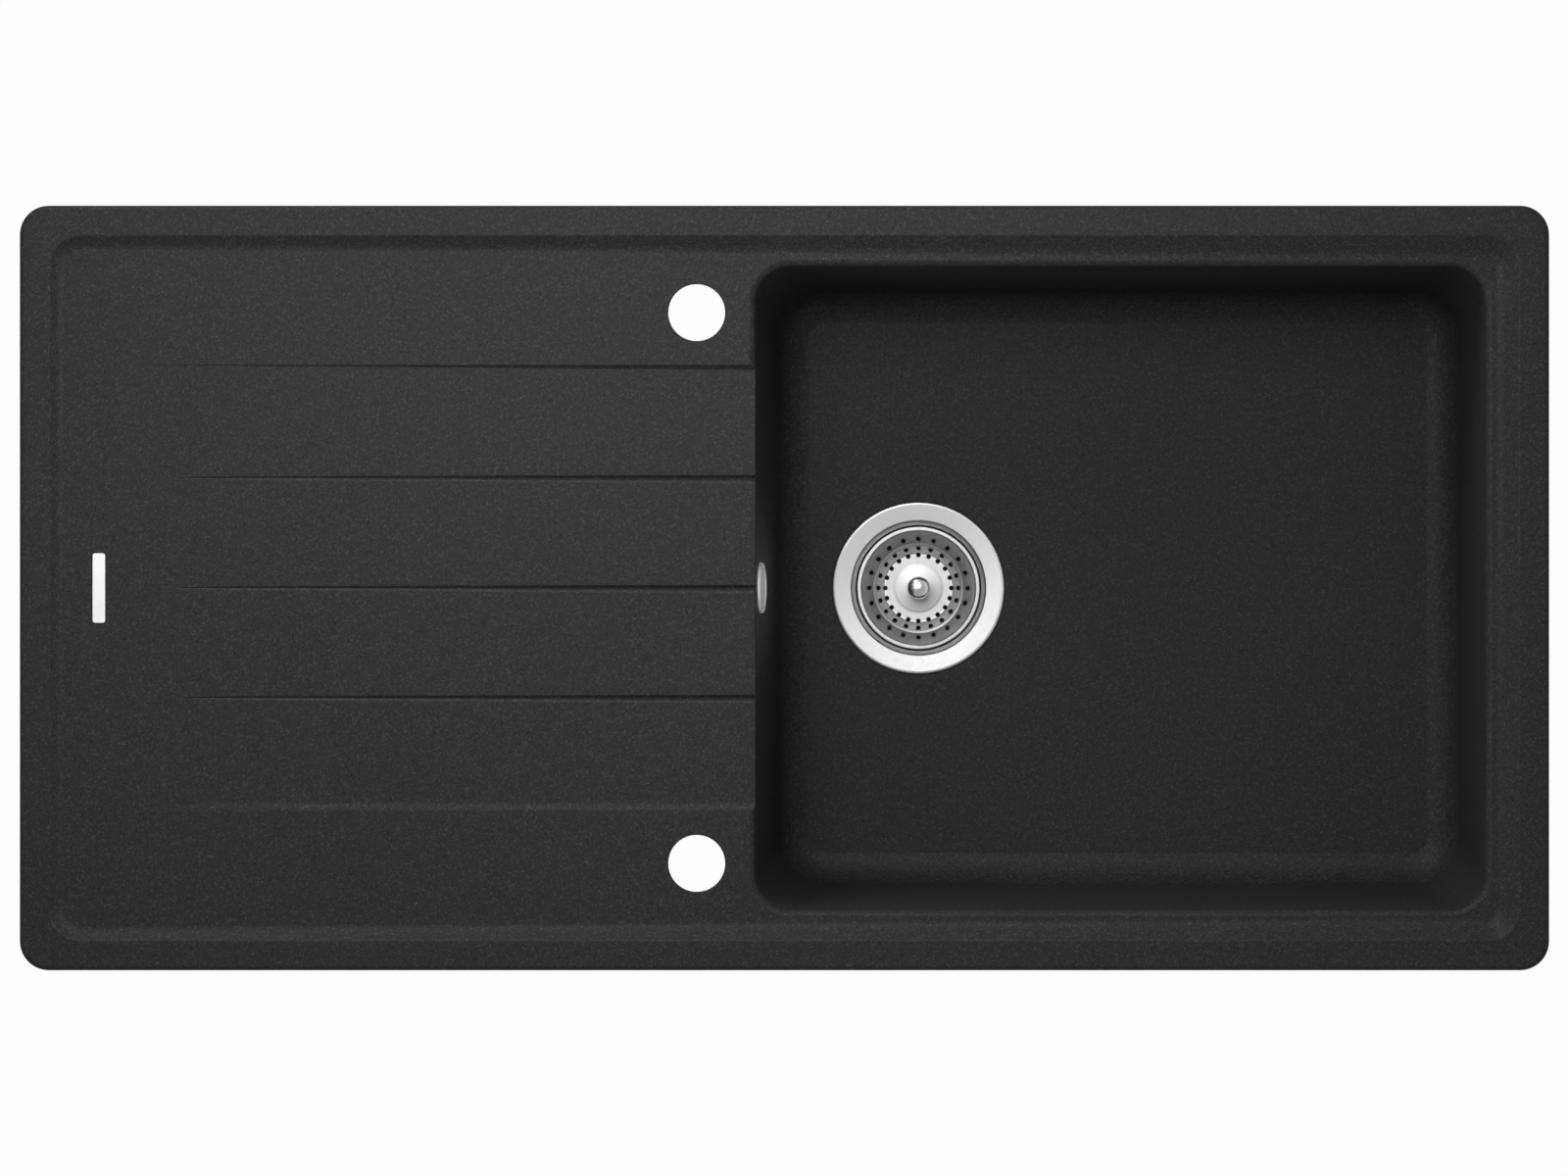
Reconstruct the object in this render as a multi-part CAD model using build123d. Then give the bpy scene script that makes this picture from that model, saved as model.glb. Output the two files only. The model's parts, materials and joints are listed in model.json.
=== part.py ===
from build123d import *
from math import atan, cos, radians, sin, sqrt, tan
import os

os.makedirs("parts", exist_ok=True)

# Frame: +X along the drainer towards the bowl, +Y to the back, +Z up, in millimetres.
# Z = 0 is the worktop surface that the rim rests on, and the origin is the outline's centre.

# Outline and rim
sink_length = 1000.0
sink_width = 500.0
outline_radius = 19.0
rim_height = 10.0
rim_edge_radius = 3.0
rim_foot_radius = 0.8
seat_width = 14.0
skirt_depth = 20.0
skirt_width = 9.0
skirt_corner_radius = 10.0

# Raised border and the sunk deck inside it
border_width = 19.7
recess_corner_radius = 20.0
recess_slope = 34.0
cove_radius = 10.0
crease_radius = 2.5
deck_drop_far = 3.9
deck_drop_end = 7.8
deck_least_thickness = 6.5

# Steps and grooves of the drainer
field_margin = 62.0
field_drop = 3.2
field_clearance = 15.5
step_inset = 2.2
step_slope = 45.0
field_lip_radius = 1.2
groove_margin = 88.0
groove_depth = 2.0
groove_slope = 50.0
groove_radius = 0.5

# Bowl
bowl_length = 478.0
bowl_margin = 41.2
bowl_side_margin = 39.5
bowl_depth = 200.0
bowl_draft = 5.0
bowl_corner_radius = 22.5
bowl_floor_corner_radius = 32.0
bowl_floor_radius = 21.0
bowl_lip_radius = 4.5
wall_thickness = 8.0
floor_thickness = 10.0

# Stiffening ribs under the drainer
stiffener_width = 7.0
stiffener_depth = 9.0

# Tap holes
tap_hole_radius = 18.6
tap_hole_margin = 69.9
tap_hole_offset = 38.2
tap_hole_edge = 0.8

# Trim plate
trim_length = 45.4
trim_width = 8.1
trim_thickness = 1.0
trim_proud = 0.3
trim_radius = 1.6
trim_margin = 51.7

# Rim seal
rim_seal_width = 5.0
rim_seal_depth = 2.0
rim_seal_margin = 4.0

# Waste
waste_offset = 107.4
flange_radius = 56.8
flange_edge = 1.8
flange_edge_drop = 1.1
flange_dish = 0.7
flange_sheet = 1.0
flange_proud = 0.4
flange_step_radius = 44.6
flange_ledge_drop = 3.0
waste_cup_radius = 41.0
waste_cup_depth = 42.0
waste_seat_radius = 33.0
waste_throat_radius = 24.0
waste_hub_radius = 9.0
spoke_width = 5.0
spoke_count = 3
waste_hole_radius = 45.5
flange_clearance = 0.5
flange_seal_thickness = 1.0
lower_seal_thickness = 3.0
body_flange_radius = 57.0
body_flange_thickness = 5.0
body_wall = 3.5
body_gap = 1.5
body_shoulder_gap = 3.0
chamber_length = 32.0
outlet_radius = 23.9
outlet_bore = 19.6
outlet_length = 24.0
port_radius = 14.0
port_length = 30.0
port_drop = 61.0

# Waste screw and its insert
waste_screw_radius = 4.0
waste_screw_head_radius = 7.5
waste_screw_head_height = 3.6
waste_screw_length = 24.0
waste_insert_radius = 6.0
waste_insert_length = 12.0

# Basket
basket_sheet = 0.8
basket_rim_radius = 40.3
basket_rim_drop = 2.4
basket_wall_radius = 37.0
basket_step_radius = 28.6
basket_step_drop = 17.5
basket_floor_radius = 21.6
basket_floor_drop = 23.0
basket_boss_radius = 16.3
basket_boss_rise = 1.7
basket_hole_radius = 1.55
basket_hole_count = 20
basket_hole_circles = (21.7, 26.4, 32.4)
knob_radius = 7.5
knob_height = 21.0
knob_crown_slope = 17.0
knob_edge = 3.6
knob_edge_radius = 1.5
knob_neck_radius = 4.8
knob_foot_radius = 6.8
knob_foot_height = 2.0
knob_socket = 13.0
stem_radius = 3.0
plug_radius = 27.0
plug_lip = 2.2
plug_disc = 5.0
plug_rest_gap = 0.3
plug_washer_radius = 12.0
plug_washer_thickness = 1.2
stem_nut_height = 3.6
stem_nut_radius = 5.6

# Overflow
overflow_drop = 36.0
overflow_tilt = 8.0
overflow_ring_radius = 16.7
overflow_ring_bore = 13.3
overflow_ring_thickness = 2.4
overflow_cap_radius = 12.2
overflow_cap_rise = 1.6
overflow_cap_edge = 1.2
overflow_cap_gap = 0.6
overflow_stud_radius = 2.5
overflow_hole_radius = 13.5
overflow_seal_thickness = 0.8
overflow_rear_seal_thickness = 2.0
overflow_boss_radius = 23.0
overflow_boss_depth = 11.0
overflow_flange_radius = 21.5
overflow_flange_thickness = 3.5
overflow_tube_radius = 16.0
overflow_tube_length = 28.0
overflow_drop_tube = 34.0

# Overflow pipe and its compression joints
pipe_radius = 10.0
pipe_wall = 1.6
pipe_bend_radius = 30.0
pipe_insertion = 16.0
pipe_nut_radius = 18.5
pipe_nut_length = 17.0
pipe_nut_end = 2.6
pipe_nut_grip_radius = 2.0
pipe_nut_grips = 12
pipe_seal_length = 5.6
pipe_seal_flare = 2.2

# Clamps
clamp_inset = 9.5
clamp_end_margin = 112.0
clamp_boss_width = 19.0
clamp_screw_radius = 2.5
clamp_head_radius = 4.6
clamp_head_height = 4.0
clamp_insert_radius = 4.0
clamp_insert_length = 11.0
clamp_drop = 46.0
clamp_travel = 10.0
jaw_length = 27.0
jaw_width = 14.0
jaw_thickness = 2.5
jaw_tip_height = 7.0

# Clearances
running_clearance = 0.05
fit_clearance = 0.1
loose_clearance = 0.3
thread_clearance = 0.25

# Derived levels and positions
draft = tan(radians(bowl_draft))
wall_growth = wall_thickness / cos(radians(bowl_draft))
recess_length = sink_length - 2 * border_width
recess_width = sink_width - 2 * border_width
deck_fall = (deck_drop_end - deck_drop_far) / recess_length
deck_angle = atan(deck_fall)
bowl_right = sink_length / 2 - bowl_margin
bowl_left = bowl_right - bowl_length
bowl_x = (bowl_left + bowl_right) / 2
bowl_width = sink_width - 2 * bowl_side_margin
floor_z = rim_height - bowl_depth
floor_under = floor_z - floor_thickness
field_start = field_margin - sink_length / 2
groove_start = groove_margin - sink_length / 2
tap_x = bowl_left - tap_hole_offset
tap_y = sink_width / 2 - tap_hole_margin
field_width = 2 * (tap_y - tap_hole_radius - field_clearance)
rib_pitch = (field_width - 2 * step_inset) / 4
waste_x = bowl_left + waste_offset
trim_x = trim_margin - sink_length / 2
skirt_length = sink_length - 2 * seat_width
skirt_breadth = sink_width - 2 * seat_width


def deck_z(x):
    """Height of the deck plane at a place along the sink."""
    return rim_height - deck_drop_far - deck_fall * (x + recess_length / 2)


def field_z(x):
    """Height of the lowered drainer field at a place along the sink."""
    return deck_z(x) - field_drop * (x - field_start) / (bowl_left - field_start)


bowl_level = deck_z(bowl_left)
ceiling_z = bowl_level - field_drop - groove_depth - deck_least_thickness


def turned(*points):
    """Solid of revolution about Z from radius and height pairs."""
    return revolve(Plane.XZ * make_face(Polyline(*points, close=True)), Axis.Z)


def pressed(points, radius, thickness):
    """Thin sheet turned about Z: the path of its upper face, rounded, with the sheet below it."""
    path = FilletPolyline(*points, radius=radius)
    outline = offset(path, amount=thickness, side=Side.LEFT, kind=Kind.INTERSECTION)
    return revolve(Plane.XZ * make_face(outline.edges()), Axis.Z)


def ring(inner, outer, low, high):
    """Flat ring about Z between two radii and two heights."""
    return turned((inner, low), (outer, low), (outer, high), (inner, high))


def rod(radius, low, high):
    """Solid cylinder about Z between two heights."""
    return turned((0, low), (radius, low), (radius, high), (0, high))


def slab(length, width, radius, low, high):
    """Upright block with rounded corners, centred on the origin."""
    return Pos(0, 0, low) * extrude(RectangleRounded(length, width, radius), high - low)


def save(part, name):
    """Write one piece under its node name."""
    export_step(part, f"parts/{name}.step")


# Casting

def bowl_form(grown, corner_grown, top, bottom, foot):
    """Drafted bowl block between two levels, grown outwards, with a rounded foot."""
    def section(z, radius):
        grow = grown + (z - bowl_level) * draft
        outline = RectangleRounded(bowl_length + 2 * grow, bowl_width + 2 * grow, radius + corner_grown)
        return Pos(bowl_x, 0, z) * outline

    low = section(bottom, bowl_floor_corner_radius)
    high = section(top, bowl_corner_radius)
    block = loft([low, high], ruled=True)
    return fillet(block.faces().sort_by(Axis.Z)[0].edges(), foot)


def recess():
    """Sunk area inside the border: sloped sides, a tilted deck plane and a cove between them."""
    mouth = Pos(0, 0, rim_height) * RectangleRounded(recess_length, recess_width, recess_corner_radius)
    block = extrude(mouth, amount=-(deck_drop_end + 1), taper=90 - recess_slope)
    normal = Vector(sin(deck_angle), 0, cos(deck_angle))
    block = split(block, Plane(origin=(0, 0, deck_z(0)), z_dir=normal), keep=Keep.TOP)
    deck = block.faces().sort_by(Axis((0, 0, 0), normal))[0]
    return fillet(deck.edges(), cove_radius)


def across(x, z, points):
    """Face in the plane across the sink at x, from sideways and upward pairs about height z."""
    plane = Plane(origin=(x, 0, z), x_dir=(0, 1, 0), z_dir=(1, 0, 0))
    return plane * make_face(Polyline(*points, close=True))


def swept(face, along):
    """Prism of a face carried straight along a vector without turning."""
    return extrude(face, amount=Vector(along).length, dir=along)


def drainer_field():
    """Lowered middle of the drainer between its two straight steps, deepest at the bowl."""
    reach = bowl_left + 12 - field_start
    rise = 8.0
    half = field_width / 2
    spread = rise / tan(radians(step_slope))
    sides = [(-half - spread, rise), (half + spread, rise), (half - spread, -rise), (-half + spread, -rise)]
    flanks = swept(across(field_start, deck_z(field_start), sides), (reach, 0, -deck_fall * reach))
    end = field_start + reach
    profile = Polyline(
        (field_start, deck_z(field_start)), (end, field_z(end)), (end, rim_height), (field_start, rim_height),
        close=True)
    wedge = extrude(Plane.XZ * make_face(profile), amount=field_width, both=True)
    return flanks & wedge


def groove(y):
    """Drain groove that grows from nothing to its full depth at the bowl."""
    reach = bowl_left + 12 - groove_start
    fall = groove_depth / (bowl_left - groove_start) * reach
    rise = 8.0
    half = rise / tan(radians(groove_slope))
    section = make_face(Polyline((-half, rise), (0, 0), (half, rise), close=True))
    section = fillet(section.vertices().sort_by(Axis.Y)[0], groove_radius)
    plane = Plane(origin=(groove_start, y, field_z(groove_start)), x_dir=(0, 1, 0), z_dir=(1, 0, 0))
    drop = field_z(groove_start) - field_z(groove_start + reach) + fall
    return swept(plane * section, (reach, 0, -drop))


def field_lip():
    """Rounding of the bowl's edge where the lowered field runs out over it."""
    low = field_z(bowl_left)
    wall_x = bowl_left + (bowl_level - low) * draft
    nudge = 0.06
    lean = radians(bowl_draft)
    middle_x = wall_x - field_lip_radius * (1 - sin(lean)) / cos(lean) + nudge
    middle_z = low - field_lip_radius + nudge
    crown = (middle_x, middle_z + field_lip_radius)
    cheek = (middle_x + field_lip_radius, middle_z)
    bulge = field_lip_radius * cos(radians(45))
    arc = ThreePointArc(crown, (middle_x + bulge, middle_z + bulge), cheek)
    clear_x = cheek[0] + 6
    clear_z = crown[1] + 6
    rest = Polyline(cheek, (clear_x, cheek[1]), (clear_x, clear_z), (crown[0], clear_z), crown)
    face = Plane.XZ * make_face([*arc.edges(), *rest.edges()])
    flat = field_width / 2 - field_drop / tan(radians(step_slope))
    return Pos(0, -flat, 0) * swept(face, (0, 2 * flat, 0))


def overflow_frame():
    """Frame of the overflow: Z looks out of the wall into the bowl, zero at the rosette's seat."""
    z = bowl_level - overflow_drop
    x = bowl_left + overflow_drop * draft
    tilt = radians(overflow_tilt)
    face = Vector(cos(tilt), 0, sin(tilt))
    buried = overflow_seal_thickness + 0.2
    return Plane(origin=Vector(x, 0, z) - face * buried, x_dir=(0, 1, 0), z_dir=face)


def clamp_sites():
    """Place of each clamp as x, y and the outward heading in degrees."""
    side = skirt_breadth / 2 - clamp_inset
    end = skirt_length / 2 - clamp_inset
    row = sink_length / 2 - clamp_end_margin
    long_sides = [(x, y, 90 if y > 0 else 270) for y in (side, -side) for x in (-row, 0, row)]
    return long_sides + [(end, 0, 0), (-end, 0, 180)]


def clamp_boss(x, y, heading):
    """Block under the deck that carries one clamp, reaching inwards to the bowl or the skirt."""
    block = Box(2 * clamp_inset, clamp_boss_width, skirt_depth + ceiling_z)
    return Pos(x, y, (ceiling_z - skirt_depth) / 2) * Rot(0, 0, heading) * block


def clamp_hole(x, y):
    """Stepped hole for a clamp's insert and the screw's tip."""
    top = clamp_insert_length - skirt_depth
    seat = Pos(x, y, 0) * rod(clamp_insert_radius, -skirt_depth - 1, top)
    tip = Pos(x, y, 0) * rod(clamp_screw_radius + loose_clearance, top, top + clamp_travel + 2)
    return seat + tip


def stiffeners():
    """Ribs under the drainer deck between the skirt and the bowl."""
    left = -skirt_length / 2 + skirt_width / 2
    right = bowl_left - wall_growth / 2
    high = ceiling_z + 1
    low = ceiling_z - stiffener_depth
    span = right - left
    ribs = [
        Pos((left + right) / 2, y, (low + high) / 2) * Box(span, stiffener_width, high - low)
        for y in (-rib_pitch, rib_pitch)
    ]
    cross_rib = Box(stiffener_width, skirt_breadth - skirt_width, high - low)
    for share in (0.3, 0.6):
        ribs.append(Pos(left + span * share, 0, (low + high) / 2) * cross_rib)
    return ribs


def trim_block(grow, low, high):
    """Block in the deck's tilt at the trim plate's place."""
    plane = Plane(origin=(trim_x, 0, deck_z(trim_x)), x_dir=(cos(deck_angle), 0, -sin(deck_angle)),
                  z_dir=(sin(deck_angle), 0, cos(deck_angle)))
    outline = RectangleRounded(trim_width + 2 * grow, trim_length + 2 * grow, trim_radius)
    return plane * Pos(0, 0, low) * extrude(outline, high - low)


def granite_body():
    """Whole casting: rim, deck, drainer, bowl and underside."""
    body = slab(sink_length, sink_width, outline_radius, 0, rim_height)
    body = fillet(body.edges().group_by(Axis.Z)[-1], rim_edge_radius)
    body = fillet(body.edges().group_by(Axis.Z)[0], rim_foot_radius)
    body += slab(skirt_length, skirt_breadth, skirt_corner_radius, -skirt_depth, 1)
    inner_radius = max(skirt_corner_radius - skirt_width, 2.0)
    body -= slab(skirt_length - 2 * skirt_width, skirt_breadth - 2 * skirt_width, inner_radius,
                 -skirt_depth - 1, ceiling_z)
    for x, y, heading in clamp_sites():
        body += clamp_boss(x, y, heading)
    for rib in stiffeners():
        body += rib
    body += bowl_form(wall_growth, wall_thickness, 1, floor_under, bowl_floor_radius + wall_thickness)

    body -= recess()
    rim_face_edges = body.edges().group_by(Axis.Z)[-1]
    crease = [
        edge for edge in rim_face_edges
        if abs(edge.center().X) < recess_length / 2 + 1 and abs(edge.center().Y) < recess_width / 2 + 1
    ]
    body = fillet(crease, crease_radius)

    body -= bowl_form(0, 0, rim_height + 4, floor_z, bowl_floor_radius)
    lip = [
        edge for edge in body.edges()
        if abs(edge.center().Z - deck_z(edge.center().X)) < 0.2
        and abs(edge.center().X - bowl_x) < bowl_length / 2 + 1
        and abs(edge.center().Y) < bowl_width / 2 + 1
    ]
    body = fillet(lip, bowl_lip_radius)

    body -= drainer_field()
    body -= field_lip()
    for step in (-1, 0, 1):
        body -= groove(step * rib_pitch)

    for side in (-1, 1):
        hole = rod(tap_hole_radius, -skirt_depth - 1, rim_height)
        body -= Pos(tap_x, side * tap_y, 0) * hole
    mouths = [
        edge for edge in body.edges()
        if edge.geom_type != GeomType.LINE
        and abs(edge.bounding_box().center().X - tap_x) < 1
        and abs(abs(edge.bounding_box().center().Y) - tap_y) < 1
        and abs(edge.bounding_box().center().Z - deck_z(tap_x)) < 0.2
    ]
    body = fillet(mouths, tap_hole_edge)

    seat = floor_z + flange_proud - flange_dish - flange_sheet - flange_seal_thickness
    body -= Pos(waste_x, 0, 0) * rod(flange_radius + flange_clearance, seat, floor_z + 2)
    body -= Pos(waste_x, 0, 0) * rod(waste_hole_radius, floor_under - 1, seat + 1)

    frame = overflow_frame()
    body += frame * rod(overflow_boss_radius, -overflow_boss_depth, -4)
    body -= frame * rod(overflow_hole_radius, -overflow_boss_depth - 1, 8)
    body -= frame * rod(overflow_ring_radius + loose_clearance, 0, 8)

    body -= trim_block(fit_clearance, trim_proud - trim_thickness, 2)
    for x, y, heading in clamp_sites():
        body -= clamp_hole(x, y)
    body -= rim_seal()
    return body


def rim_seal():
    """Sealing strip in its groove under the rim, flush with the seat."""
    def inset(margin, low, high):
        radius = outline_radius - margin
        return slab(sink_length - 2 * margin, sink_width - 2 * margin, radius, low, high)

    outer = inset(rim_seal_margin, 0, rim_seal_depth)
    inner = inset(rim_seal_margin + rim_seal_width, -1, rim_seal_depth + 1)
    return outer - inner


# Waste

lip_z = floor_z + flange_proud
flange_seat_z = lip_z - flange_dish - flange_sheet - flange_seal_thickness
cup_z = floor_z - waste_cup_depth
body_top = floor_under - lower_seal_thickness
shoulder_z = cup_z - flange_sheet - body_shoulder_gap
chamber_bottom = shoulder_z - chamber_length
port_z = floor_z - port_drop
chamber_radius = waste_throat_radius + 1
body_bore = waste_cup_radius + flange_sheet + body_gap
cone_radius = waste_seat_radius + flange_sheet + body_gap
port_reach = chamber_radius + body_wall + port_length


def waste_flange():
    """Pressed steel flange, cup and spoked bottom."""
    ledge = lip_z - flange_dish - flange_ledge_drop
    path = [
        (flange_radius, lip_z - flange_edge_drop),
        (flange_radius - 0.4 * flange_edge, lip_z - 0.3 * flange_edge_drop),
        (flange_radius - flange_edge, lip_z), (flange_step_radius, lip_z - flange_dish),
        (waste_cup_radius + 0.4, ledge), (waste_cup_radius - 0.4, cup_z + 26),
        (waste_seat_radius, cup_z + 3), (waste_seat_radius - 3, cup_z), (waste_throat_radius, cup_z)]
    shell = pressed(path, 0.6, flange_sheet)
    hub = ring(waste_screw_radius + thread_clearance, waste_hub_radius, cup_z - flange_sheet, cup_z)
    spoke_length = waste_throat_radius - waste_hub_radius + 2
    spoke_x = (waste_throat_radius + waste_hub_radius) / 2
    for turn in range(spoke_count):
        bar = Pos(spoke_x, 0, cup_z - flange_sheet / 2) * Box(spoke_length, spoke_width, flange_sheet)
        hub += Rot(0, 0, 60 + turn * 360 / spoke_count) * bar
    return shell + hub


def flange_seal():
    """Rubber ring under the flange, level below and following the dished lip above."""
    outer = flange_radius - 3
    inner = waste_hole_radius + 1
    slope = flange_dish / (flange_radius - flange_edge - flange_step_radius)

    def under(radius):
        return lip_z - flange_sheet - (flange_radius - flange_edge - radius) * slope - fit_clearance

    return turned(
        (inner, flange_seat_z), (outer, flange_seat_z), (outer, under(outer)), (inner, under(inner)))


def waste_body():
    """Plastic body that hangs under the bowl, with chamber, hub, side port and outlet."""
    cone_top = cup_z + 24
    outlet_top = chamber_bottom - 4
    outer = [
        (body_flange_radius, body_top), (body_flange_radius, body_top - body_flange_thickness),
        (body_bore + body_wall, body_top - body_flange_thickness), (body_bore + body_wall, cone_top - 2),
        (cone_radius + body_wall, shoulder_z), (cone_radius + body_wall, shoulder_z - body_wall),
        (chamber_radius + body_wall, shoulder_z - body_wall), (chamber_radius + body_wall, outlet_top - 2),
        (outlet_radius, outlet_top - 2), (outlet_radius, outlet_top - 2 - outlet_length)]
    inner = [
        (outlet_bore, outlet_top - 2 - outlet_length), (outlet_bore, outlet_top),
        (chamber_radius, chamber_bottom), (chamber_radius, shoulder_z), (cone_radius, shoulder_z),
        (body_bore, cone_top - 2), (body_bore, body_top)]
    body = turned(*outer, *inner)

    port = Pos(0, 0, port_z) * Rot(0, -90, 0)
    stop = port_reach - pipe_insertion - 0.5
    body += port * rod(port_radius, chamber_radius + 1, port_reach)
    body -= port * rod(pipe_radius - pipe_wall, 0, port_reach)
    body -= port * rod(pipe_radius + thread_clearance, stop, port_reach + 1)
    body -= port * Pos(0, 0, port_reach) * seal_seat()

    hub_low = shoulder_z - waste_insert_length - 4
    for turn in range(spoke_count):
        bar = Pos(chamber_radius / 2, 0, (shoulder_z + hub_low) / 2)
        bar *= Box(chamber_radius + 2, 3.0, shoulder_z - hub_low)
        body += Rot(0, 0, 60 + turn * 360 / spoke_count) * bar
    body += rod(waste_hub_radius, hub_low, shoulder_z)
    body -= rod(waste_insert_radius, hub_low - 1, hub_low + waste_insert_length)
    body -= rod(waste_screw_radius + thread_clearance, hub_low, shoulder_z + 1)
    return body


def waste_screw():
    """Centre screw with a slotted cheese head."""
    head = rod(waste_screw_head_radius, cup_z, cup_z + waste_screw_head_height)
    head = fillet(head.edges().group_by(Axis.Z)[-1], 1.2)
    head -= Pos(0, 0, cup_z + waste_screw_head_height) * Box(2 * waste_screw_head_radius + 1, 2.0, 3.2)
    return head + rod(waste_screw_radius, cup_z - waste_screw_length, cup_z + 0.5)


def waste_insert():
    """Brass insert moulded into the waste body's hub."""
    low = shoulder_z - waste_insert_length - 4
    return ring(waste_screw_radius + running_clearance, waste_insert_radius, low, low + waste_insert_length)


# Basket

basket_top = floor_z - basket_rim_drop
basket_floor = floor_z - basket_floor_drop
plug_top = basket_floor - basket_sheet - loose_clearance
plug_under = plug_top - plug_disc
washer_top = plug_under - loose_clearance
nut_top = washer_top - plug_washer_thickness
stem_low = nut_top - stem_nut_height - 0.6
boss_top = basket_floor + basket_boss_rise


def basket_cup():
    """Perforated strainer basket pressed from sheet, with a rolled rim and a raised boss."""
    step = floor_z - basket_step_drop
    path = [
        (basket_rim_radius, basket_top - 2.2), (basket_rim_radius - 0.1, basket_top),
        (basket_wall_radius + 0.9, basket_top), (basket_wall_radius, basket_top - 2.0),
        (basket_step_radius + 1.2, step), (basket_step_radius - 0.4, step - 0.5),
        (basket_floor_radius + 0.8, basket_floor), (basket_boss_radius, basket_floor),
        (stem_radius + fit_clearance, boss_top)]
    cup = pressed(path, 0.5, basket_sheet)
    for radius in basket_hole_circles:
        for place in PolarLocations(radius, basket_hole_count):
            cup -= place * rod(basket_hole_radius, basket_floor - 4, basket_top - 3)
    return cup


def basket_knob():
    """Turned lifting knob: flared foot, waisted neck and a broad head with a low conical crown."""
    top = boss_top + knob_height
    shoulder = top - knob_radius * tan(radians(knob_crown_slope))
    side = FilletPolyline(
        (0, top), (knob_radius, shoulder), (knob_radius, shoulder - knob_edge),
        (knob_neck_radius, shoulder - 2 * knob_edge), (knob_neck_radius, boss_top + knob_foot_height),
        (knob_foot_radius, boss_top), radius=knob_edge_radius)
    foot = Polyline((knob_foot_radius, boss_top), (0, boss_top), (0, top))
    body = revolve(Plane.XZ * make_face([*side.edges(), *foot.edges()]), Axis.Z)
    return body - rod(stem_radius, boss_top - 1, boss_top + knob_socket)


def basket_stem():
    """Stud that joins knob, basket, plug, washer and nut."""
    return rod(stem_radius, stem_low, boss_top + knob_socket)


def basket_plug():
    """Rubber plug: a disc under the basket with a skirt that closes the throat."""
    low = cup_z + plug_rest_gap
    bore = stem_radius + running_clearance
    return turned(
        (bore, plug_top), (basket_floor_radius - 1, plug_top), (plug_radius, low + 5), (plug_radius, low),
        (plug_radius - plug_lip, low), (basket_floor_radius - 4.5, plug_under), (bore, plug_under))


def plug_washer():
    """Steel washer under the plug."""
    return ring(stem_radius + fit_clearance, plug_washer_radius, nut_top, washer_top)


def stem_nut():
    """Hexagon nut on the stem."""
    low = nut_top - stem_nut_height
    nut = Pos(0, 0, low) * extrude(RegularPolygon(stem_nut_radius, 6), stem_nut_height)
    return nut - rod(stem_radius, low - 1, nut_top + 1)


# Overflow, about the axis of the rosette

ring_low = overflow_seal_thickness
rear_low = -overflow_boss_depth - overflow_rear_seal_thickness
elbow_flange_low = rear_low - overflow_flange_thickness
tube_low = rear_low - overflow_tube_length
bridge_top = rear_low
bridge_low = rear_low - 8


def overflow_ring():
    """Chrome ring of the rosette."""
    high = ring_low + overflow_ring_thickness
    return turned(
        (overflow_ring_bore, ring_low), (overflow_ring_radius, ring_low),
        (overflow_ring_radius, high - 0.7), (overflow_ring_radius - 0.7, high),
        (overflow_ring_bore + 0.5, high), (overflow_ring_bore, high - 0.5))


def overflow_cap():
    """Domed chrome cap with the stud that screws into the bridge of the elbow."""
    low = ring_low + overflow_cap_gap
    edge = low + overflow_cap_edge
    dome = edge + overflow_cap_rise
    foot = bridge_low - 1
    sphere = (overflow_cap_radius ** 2 + overflow_cap_rise ** 2) / (2 * overflow_cap_rise)
    half = overflow_cap_radius / 2
    arc = ThreePointArc(
        (overflow_cap_radius, edge), (half, dome - sphere + sqrt(sphere ** 2 - half ** 2)), (0, dome))
    rest = Polyline(
        (0, dome), (0, foot), (overflow_stud_radius, foot), (overflow_stud_radius, low),
        (overflow_cap_radius, low), (overflow_cap_radius, edge))
    return revolve(Plane.XZ * make_face([*arc.edges(), *rest.edges()]), Axis.Z)


def overflow_front_seal():
    """Ring between the rosette and the casting."""
    return ring(overflow_hole_radius + 0.5, overflow_ring_radius - 0.5, 0, overflow_seal_thickness)


def overflow_rear_seal():
    """Ring between the casting and the elbow's flange."""
    return ring(overflow_hole_radius + 1, overflow_flange_radius - 1, rear_low, -overflow_boss_depth)


def seal_seat():
    """Flared mouth of a spigot, with the mouth at zero and the pipe leaving along +Z."""
    inner = pipe_radius + thread_clearance
    depth = pipe_seal_length / 2
    mouth = inner + pipe_seal_flare
    return turned((0, -depth), (inner, -depth), (mouth, 0), (mouth, 1), (0, 1))


def pipe_seal():
    """Rubber cone squeezed between a spigot's mouth and its nut."""
    inner = pipe_radius + running_clearance
    depth = pipe_seal_length / 2
    wide = pipe_radius + thread_clearance + pipe_seal_flare - fit_clearance
    slim = pipe_radius + thread_clearance - fit_clearance
    return turned((inner, -depth), (slim, -depth), (wide, 0), (wide, depth), (inner, depth))


def pipe_nut():
    """Compression nut round a spigot, with grips on its outside."""
    high = pipe_seal_length / 2 + pipe_nut_end
    low = high - pipe_nut_length
    thread = port_radius + thread_clearance
    bore = pipe_radius + loose_clearance
    inside = pipe_seal_length / 2
    nut = turned(
        (thread, low), (pipe_nut_radius, low), (pipe_nut_radius, high - 1), (pipe_nut_radius - 1, high),
        (bore, high), (bore, inside), (thread, inside))
    for place in PolarLocations(pipe_nut_radius + pipe_nut_grip_radius * 0.4, pipe_nut_grips):
        nut -= place * rod(pipe_nut_grip_radius, low - 1, high + 1)
    return nut


def elbow_outlet():
    """Point on the rosette's axis that the drop tube hangs from."""
    back = tube_low + overflow_tube_radius - 2
    frame = overflow_frame()
    return frame.origin + frame.z_dir * back


def elbow_mouth_z():
    """Height of the drop tube's mouth."""
    return elbow_outlet().Z - overflow_drop_tube


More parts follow.
